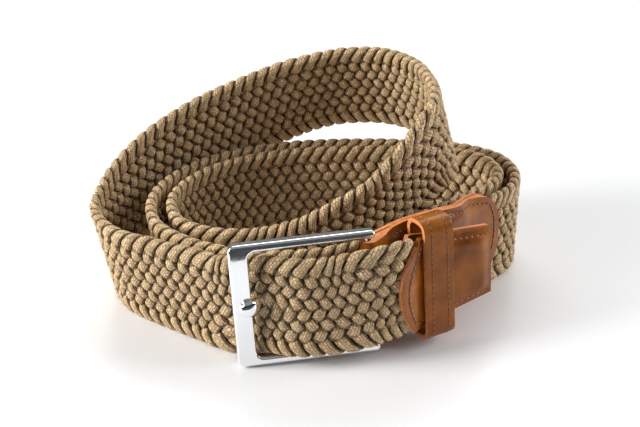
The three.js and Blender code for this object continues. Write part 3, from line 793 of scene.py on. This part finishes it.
# Tip: its root opens for the strap, and its end is sewn shut
TIP_ROWS = 34
TIP_OPENING = (1, 10)
TIP_CLOSING = (0.4, 4.5)
TIP_RAW_ROOT = -3


def tip_height(u):
    return TIP_ROOT_HEIGHT + (TIP_END_HEIGHT - TIP_ROOT_HEIGHT) * (u - TIP_FROM) / TIP_LENGTH


def tip_half(u, level):
    from_end = ROUTE_LENGTH - u
    open_amount = 1 - smoothstep(u - TIP_FROM - TIP_ROUNDING * level**2, *TIP_OPENING)
    half = panel_half(level, tip_height(u), open_amount)
    return PANEL_SEAM + (half - PANEL_SEAM) * smoothstep(from_end, *TIP_CLOSING)


def tip_grid(side):
    rows = []
    for share in np.linspace(0, 1, TIP_ROWS):
        start = TIP_FROM + TIP_ROUNDING * LEVELS**2
        u = start + (ROUTE_LENGTH - start) * share
        rows.append(strap_point(u, LEVELS * tip_height(u) / 2, side * tip_half(u, LEVELS)))
    return np.array(rows if side < 0 else rows[::-1])


def past_root(place):
    """The front panel's edges are turned in and polished, all but its rounded root."""
    return (place - tail_place(0, 0)) @ tail_along > TIP_RAW_ROOT


tip_front = sheet("leather_tip_front", tip_grid(1), PANEL_THICKNESS, folded=past_root)
tip_back = sheet("leather_tip_back", tip_grid(-1), PANEL_THICKNESS)
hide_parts("strap_tip")
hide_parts("strap_tip")


# Keeper: a doubled leather band round the tip
CORNER_POINTS = 8
SIDE_POINTS = 6
KEEPER_ROWS = 12
KEEPER_BULGE = 0.12


def between(start, end):
    """Places between two corners, without the corners."""
    return [(start[0] + (end[0] - start[0]) * s, start[1] + (end[1] - start[1]) * s)
            for s in np.linspace(0, 1, SIDE_POINTS)[1:-1]]


def rounded_loop(width, height, radius, out=0.0):
    """Places round a rectangle with rounded corners, grown outwards, from the middle of its near side."""
    x, y, r = width / 2 + out, height / 2 + out, radius + out
    path = []
    for cx, cy, start in ((x - r, y - r, 0), (r - x, y - r, 90), (r - x, r - y, 180), (x - r, r - y, 270)):
        corner = arc(cx, cy, r, start, start + 90, CORNER_POINTS)
        if path:
            path += between(path[-1], corner[0])
        path += corner
    path += between(path[-1], path[0])
    return np.array(path)


KEEPER_DEPTH = 2 * LEATHER_HALF + 2 * CLEARANCE + KEEPER_SLACK
KEEPER_INSIDE = KEEPER_HEIGHT - 2 * KEEPER_WALL
KEEPER_MID_RADIUS = KEEPER_CORNER - KEEPER_WALL / 2


def keeper_point(x, y, along):
    x, y, along = np.broadcast_arrays(*(np.asarray(a, float) for a in (x, y, along)))
    across = x[..., None] * keeper_side + y[..., None] * keeper_up
    return keeper_middle + across + along[..., None] * tail_along


def keeper_grid():
    loop = rounded_loop(KEEPER_DEPTH + KEEPER_WALL, KEEPER_INSIDE + KEEPER_WALL, KEEPER_MID_RADIUS)
    across = np.linspace(-0.5, 0.5, KEEPER_ROWS)
    bulge = KEEPER_BULGE * (1 - (2 * across) ** 2)
    rows = []
    for x, y in loop:
        out = unit((x / KEEPER_DEPTH, y / KEEPER_HEIGHT))
        rows.append(keeper_point(x + out[0] * bulge, y + out[1] * bulge, across * KEEPER_WIDTH))
    return np.array(rows)


keeper = sheet("leather_keeper", keeper_grid(), KEEPER_WALL, closed=True)
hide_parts("keeper_loop")


# Sewing: short threads laid on the leather, each end at a near-black lump of painted shade that stands for a
# punched hole
THREAD_PITCH = 2.2
THREAD_RADIUS = 0.31
THREAD_HOLE = 0.42
THREAD_LENGTH = 1.5
THREAD_SINK = 0.03
THREAD_SIDES = 8
THREAD_RINGS = 7
THREAD_LIFT = 0.55
THREAD_DIP = 0.9
THREAD_END = 0.12
HOLE_FLATNESS = 0.16
HOLE_RINGS = ((-1, 0.2), (-0.7, 0.72), (0, 1), (0.7, 0.72), (1, 0.2))
HOLE_REACH = 0.1


def sewing(name, path, normals, pitch=THREAD_PITCH, radius=THREAD_RADIUS, hole=THREAD_HOLE):
    path = np.asarray(path, float)
    along = np.concatenate([[0], np.cumsum(np.linalg.norm(np.diff(path, axis=0), axis=1))])
    points, faces, indices = [], [], []

    def at(s):
        return (np.array([np.interp(s, along, path[:, k]) for k in range(3)]),
                unit([np.interp(s, along, np.asarray(normals)[:, k]) for k in range(3)]))

    def lump(centres, radii, up, flat, material):
        base = len(points)
        for n, (centre, r) in enumerate(zip(centres, radii)):
            ahead = centres[min(n + 1, len(centres) - 1)] - centres[max(n - 1, 0)]
            across = unit(np.cross(ahead, up))
            for k in range(THREAD_SIDES):
                a = 2 * math.pi * k / THREAD_SIDES
                points.append(centre + across * r * math.cos(a) + up * r * flat * math.sin(a))
        got = ring_faces(len(centres), THREAD_SIDES)
        faces.extend(tuple(base + v for v in face) for face in got)
        indices.extend([material] * len(got))

    count = max(int(along[-1] / pitch), 1)
    step = along[-1] / count
    for n in range(count):
        middle = (n + 0.5) * step
        shares = np.linspace(-1, 1, THREAD_RINGS)
        centres, up = [], at(middle)[1]
        for share in shares:
            place, normal = at(middle + share * THREAD_LENGTH / 2)
            centres.append(place + normal * (radius * (THREAD_LIFT - THREAD_DIP * share**4) - THREAD_SINK))
        radii = radius * np.sqrt(np.maximum(1 - np.abs(shares) ** 5, THREAD_END))
        lump(centres, radii, up, 1.0, 0)
    for n in range(count + 1):
        place, up = at(min(n * step, along[-1]))
        ahead = unit(at(min(n * step + HOLE_REACH, along[-1]))[0] - at(max(n * step - HOLE_REACH, 0))[0])
        centres = [place + ahead * hole * share for share, _ in HOLE_RINGS]
        lump(centres, [hole * size for _, size in HOLE_RINGS], up, HOLE_FLATNESS, 1)
    return add_piece(name, np.array(points), faces, [THREAD, HOLE], indices=indices)


def sewn_on_strap(name, places, half_at, side):
    """Sewing along places given by distance and height on a panel."""
    places = np.array(places)
    u, v = places[:, 0], places[:, 1]
    w = half_at(u, v) + PANEL_THICKNESS / 2
    return sewing(name, strap_point(u, v, side * w), side * strap_axes(u)[2])


SEAM_IN = 2.4
SEAM_FROM_END = 2.9
SEAM_CORNER = 2.6
TAB_SEAM_START = 9
TIP_SEAM_CORNER = TIP_ROUNDING * 0.75 + 2.5
TIP_SEAM_END = 2.5
SEAM_POINTS = 30
SEAM_END_POINTS = 40


def tab_seam():
    places = []
    edge = 1 - SEAM_IN / (TAB_HEIGHT / 2)
    straight = np.linspace(TAB_SEAM_START, tab_end(edge) - SEAM_CORNER, SEAM_POINTS)
    for u in straight:
        places.append((u, edge * TAB_HEIGHT / 2))
    for level in np.linspace(edge, -edge, SEAM_END_POINTS)[1:-1]:
        places.append((tab_end(level) - SEAM_FROM_END, level * TAB_HEIGHT / 2))
    for u in reversed(straight):
        places.append((u, -edge * TAB_HEIGHT / 2))
    return places


def tip_seam():
    places = []
    straight = np.linspace(ROUTE_LENGTH - TIP_SEAM_END, TIP_FROM + TIP_SEAM_CORNER, SEAM_POINTS)
    for u in straight:
        places.append((u, tip_height(u) / 2 - SEAM_IN))
    edge = 1 - SEAM_IN / (TIP_ROOT_HEIGHT / 2)
    for level in np.linspace(edge, -edge, SEAM_END_POINTS)[1:-1]:
        u = TIP_FROM + TIP_ROUNDING * level**2 + SEAM_FROM_END
        places.append((u, level * tip_height(u) / 2))
    for u in reversed(straight):
        places.append((u, SEAM_IN - tip_height(u) / 2))
    return places


for side, word in ((1, "outer"), (-1, "inner")):
    sewn_on_strap(f"tab_sewing_{word}", tab_seam(), lambda u, v: tab_half(u, v / (TAB_HEIGHT / 2)), side)
    sewn_on_strap(f"tip_sewing_{word}", tip_seam(), lambda u, v: tip_half(u, v / (tip_height(u) / 2)), side)


KEEPER_SEAM = 0.27
KEEPER_PITCH = 2.0
KEEPER_THREAD = 0.17
KEEPER_HOLE = 0.26


def keeper_sewing(share, word):
    out = KEEPER_WALL / 2 + KEEPER_BULGE * (1 - (2 * share) ** 2)
    loop = rounded_loop(KEEPER_DEPTH + KEEPER_WALL, KEEPER_INSIDE + KEEPER_WALL, KEEPER_MID_RADIUS, out=out)
    before = np.roll(loop, 1, axis=0)
    after = np.roll(loop, -1, axis=0)
    ahead = after - before
    outward = np.stack([ahead[:, 1], -ahead[:, 0]], -1)
    outward /= np.linalg.norm(outward, axis=1)[:, None]
    path = keeper_point(loop[:, 0], loop[:, 1], share * KEEPER_WIDTH)
    normals = outward[:, :1] * keeper_side + outward[:, 1:] * keeper_up
    path = np.concatenate([path, path[:1]])
    normals = np.concatenate([normals, normals[:1]])
    return sewing(f"keeper_sewing_{word}", path, normals, KEEPER_PITCH, KEEPER_THREAD, KEEPER_HOLE)


keeper_sewing(-KEEPER_SEAM, "first")
keeper_sewing(KEEPER_SEAM, "second")


# Buckle frame, with the hinge pin across its open end
FRAME_BEVEL = 0.9
FRAME_BEVEL_SEGMENTS = 3
FRAME_BEVEL_ANGLE = math.radians(60)
FRAME_FLATNESS = 80
PIN_SIDES = 28
PIN_CHAMFER = 0.3


def frame_outline():
    length, height, r, q = FRAME_LENGTH, FRAME_HEIGHT, FRAME_CORNER, OPENING_CORNER
    end = ARM_HEIGHT / 2
    left, low, high = BAR_WIDTH, ARM_HEIGHT, FRAME_HEIGHT - ARM_HEIGHT
    return (arc(length - end, end, end, -90, 90) + arc(left + q, low + q, q, 270, 180)
            + arc(left + q, high - q, q, 180, 90) + arc(length - end, height - end, end, -90, 90)
            + arc(r, height - r, r, 90, 180) + arc(r, r, r, 180, 270))


def buckle_frame():
    outline = np.array(frame_outline())
    count = len(outline)
    back = by_buckle(outline[:, 0], -FRAME_DEPTH / 2, outline[:, 1])
    front = by_buckle(outline[:, 0], FRAME_DEPTH / 2, outline[:, 1])
    faces = [tuple(reversed(range(count))), tuple(range(count, 2 * count))]
    faces += [(j, (j + 1) % count, (j + 1) % count + count, j + count) for j in range(count)]
    piece = add_piece("chrome_frame", np.concatenate([back, front]), faces, [CHROME])
    return apply_modifiers(piece, [
        ("BEVEL", {"width": FRAME_BEVEL * MM, "segments": FRAME_BEVEL_SEGMENTS, "limit_method": "ANGLE",
                   "angle_limit": FRAME_BEVEL_ANGLE, "profile": 0.5}),
        ("WEIGHTED_NORMAL", {"keep_sharp": True, "weight": FRAME_FLATNESS})])


def hinge_rod():
    low, high = ARM_HEIGHT / 2, FRAME_HEIGHT - ARM_HEIGHT / 2
    angles = np.linspace(0, 2 * math.pi, PIN_SIDES, endpoint=False)
    rings = []
    for up, share in ((low, 0.6), (low, 0.9), (low + PIN_CHAMFER, 1),
                      (high - PIN_CHAMFER, 1), (high, 0.9), (high, 0.6)):
        reach = PIN_RADIUS * share
        rings.append(by_buckle(HINGE_ALONG + reach * np.cos(angles), reach * np.sin(angles),
                               np.full(PIN_SIDES, up)))
    return add_piece("hinge_pin", np.concatenate(rings), ring_faces(len(rings), PIN_SIDES), [CHROME])


chrome_frame = buckle_frame()
hinge_pin = hinge_rod()
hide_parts("buckle_frame")
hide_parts("buckle_frame")


# Prong: a half-round bar over the buckle's bar, bent down behind the braid to the hinge pin
NOSE_SHARES = (0.004, 0.03, 0.1, 0.22, 0.4, 0.62, 0.82, 1)
SHANK_ROWS = 22
SHANK_EVEN = 0.55
SHANK_POWER = 2.2
BEND_EASE = 1.4
BEND_PASSES = 2
DOME_ANGLES = (0, 20, 42, 66, 90, 114, 138, 160, 180)
BACK_OUT = (-0.55, -0.72, -0.72, -0.55)
BACK_ACROSS = (-0.98, -0.85, 0.85, 0.98)
DOME_HEIGHT = 1.25
NOSE_THINNEST = 0.25
EYE_CHAMFER = 0.2
EYE_SIDES = 32


def prong():
    tip_at = BAR_WIDTH - PRONG_REACH_ON_BAR + PRONG_HEIGHT / 2
    on_bar = FRAME_DEPTH / 2 + CLEARANCE + PRONG_THICKNESS / 2
    past = BAR_WIDTH + PRONG_THICKNESS / 2
    end = HINGE_ALONG - PIN_RADIUS - CLEARANCE - PRONG_EYE_WALL / 2
    half = PRONG_HEIGHT / 2
    knots = np.array([
        (tip_at - half, on_bar), (past - 1, on_bar), (past + PRONG_BEND / 2, (on_bar - PRONG_DIP) / 2),
        (past + PRONG_BEND + BEND_EASE, -PRONG_DIP), (end, 0)])
    along, out, tall = [], [], []
    for share in NOSE_SHARES:
        along.append(tip_at - half + half * share)
        out.append(on_bar)
        tall.append(half * math.sqrt(1 - (1 - share) ** 2))
    start = along[-1]
    for t in np.linspace(0, 1, SHANK_ROWS)[1:]:
        x = start + (end - start) * (SHANK_EVEN * t + (1 - SHANK_EVEN) * t**SHANK_POWER)
        y = np.interp(x, knots[:, 0], knots[:, 1])
        along.append(x)
        out.append(y)
        tall.append(half)
    along, out, tall = (np.array(a) for a in (along, out, tall))
    bend = len(NOSE_SHARES)
    for _ in range(BEND_PASSES):
        out[bend:-1] = (out[bend - 1:-2] + 2 * out[bend:-1] + out[bend + 1:]) / 4
    ahead = np.stack([np.gradient(along), np.gradient(out)], -1)
    ahead /= np.linalg.norm(ahead, axis=1)[:, None]
    angles = np.radians(DOME_ANGLES)
    dome = np.concatenate([np.sin(angles), BACK_OUT])
    rows = np.concatenate([np.cos(angles), BACK_ACROSS])
    rings = []
    for x, y, t, (dx, dy) in zip(along, out, tall, ahead):
        rise = dome * DOME_HEIGHT * PRONG_THICKNESS / 2 * math.sqrt(max(t / half, NOSE_THINNEST))
        rings.append(by_buckle(x - dy * rise, y + dx * rise, FRAME_MIDDLE + rows * t))
    return add_piece("prong_bar", np.concatenate(rings), ring_faces(len(rings), len(dome)), [CHROME])


def prong_eye():
    """The loop at the prong's root, round the hinge pin."""
    inner, cut, half = PIN_RADIUS + CLEARANCE, EYE_CHAMFER, PRONG_HEIGHT / 2
    outer = inner + PRONG_EYE_WALL
    radius = np.array([inner, inner + cut, outer - cut, outer, outer, outer - cut, inner + cut, inner])
    up = np.array([cut - half, -half, -half, cut - half, half - cut, half, half, half - cut])
    rings = []
    for a in np.linspace(0, 2 * math.pi, EYE_SIDES, endpoint=False):
        rings.append(by_buckle(HINGE_ALONG + radius * math.cos(a), radius * math.sin(a), FRAME_MIDDLE + up))
    faces = ring_faces(EYE_SIDES, len(up), closed_rings=True)
    return add_piece("prong_eye", np.concatenate(rings), faces, [CHROME])


for piece in (prong(), prong_eye()):
    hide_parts("prong")


# Stage
TABLE_REACH = 6
CARD_LIFT = 0.0006
CARD_ACROSS = (-0.35, 0.50)
CARD_BACK = (-0.70, -0.150)


def staged(name, across, back, height, material):
    """A flat rectangle that the belt lies on or mirrors."""
    mesh = bpy.data.meshes.new(name)
    corners = [(across[0], back[0]), (across[1], back[0]), (across[1], back[1]), (across[0], back[1])]
    mesh.from_pydata([(x, y, height) for x, y in corners], [], [(0, 1, 2, 3)])
    mesh.materials.append(material)
    piece = bpy.data.objects.new(name, mesh)
    bpy.context.scene.collection.objects.link(piece)
    return piece


def floor():
    material, tree, shader = new_material("white_table")
    where = node(tree, "ShaderNodeTexCoord").outputs["Object"]
    haze = node(tree, "ShaderNodeTexNoise", {"Vector": where, "Scale": 3})
    colour = ramp(tree, haze.outputs["Fac"], [(0.3, (0.93, 0.94, 0.95)), (0.7, (0.95, 0.955, 0.96))])
    tree.links.new(colour, shader.inputs["Base Color"])
    shader.inputs["Roughness"].default_value = 0.28
    shader.inputs["Specular IOR Level"].default_value = 0.35
    reach = (-TABLE_REACH, TABLE_REACH)
    table = staged("table", reach, reach, 0, material)


def dark_card():
    """A dark card on the table, nearer than the picture shows: the chrome and the leather mirror it."""
    material, tree, shader = new_material("dark_card")
    where = node(tree, "ShaderNodeTexCoord").outputs["Object"]
    haze = node(tree, "ShaderNodeTexNoise", {"Vector": where, "Scale": 5})
    colour = ramp(tree, haze.outputs["Fac"], [(0.3, (0.022, 0.024, 0.030)), (0.7, (0.030, 0.033, 0.040))])
    tree.links.new(colour, shader.inputs["Base Color"])
    shader.inputs["Roughness"].default_value = 0.7
    card = staged("dark_card", CARD_ACROSS, CARD_BACK, CARD_LIFT, material)


floor()
dark_card()


# Light: a dim room that is bright overhead and behind, a strong soft lamp from the left,
# a weaker one from the right and one from behind
LIT_PLACE = (0, 0, 0.03)
ROOM_STRENGTH = 0.30


def area(name, place, size, power):
    data = bpy.data.lights.new(name, "AREA")
    data.shape = "RECTANGLE"
    data.size, data.size_y = size
    data.energy = power
    lamp = bpy.data.objects.new(name, data)
    bpy.context.scene.collection.objects.link(lamp)
    lamp.location = place
    towards = Vector(LIT_PLACE) - Vector(place)
    lamp.rotation_euler = towards.to_track_quat("-Z", "Y").to_euler()


area("key", (-0.90, -0.20, 0.42), (0.45, 0.45), 13.0)
area("side", (0.86, 0.02, 0.42), (0.5, 0.5), 5.5)
area("top", (0.05, 0.68, 0.70), (0.9, 0.5), 4.4)

sky = bpy.data.worlds.new("room")
bpy.context.scene.world = sky
sky.use_nodes = True
tree = sky.node_tree
tree.nodes.clear()
direction = node(tree, "ShaderNodeTexCoord").outputs["Generated"]
sides = node(tree, "ShaderNodeSeparateXYZ", {"Vector": direction})
overhead = ramp(tree, sides.outputs["Z"], [
    (0.0, grey(0.10)), (0.30, grey(0.14)), (0.50, grey(0.85)), (1.0, grey(1.0))])
backwards = maths(tree, "MULTIPLY_ADD", sides.outputs["Y"], 0.5, 0.5)
behind = ramp(tree, backwards, [(0.35, grey(0.0)), (0.75, grey(0.7))])
tone = blend(tree, "LIGHTEN", overhead, behind)
background = node(tree, "ShaderNodeBackground", {"Color": tone, "Strength": ROOM_STRENGTH})
world_output = node(tree, "ShaderNodeOutputWorld")
tree.links.new(background.outputs["Background"], world_output.inputs["Surface"])
bpy.context.scene.view_settings.view_transform = "Standard"
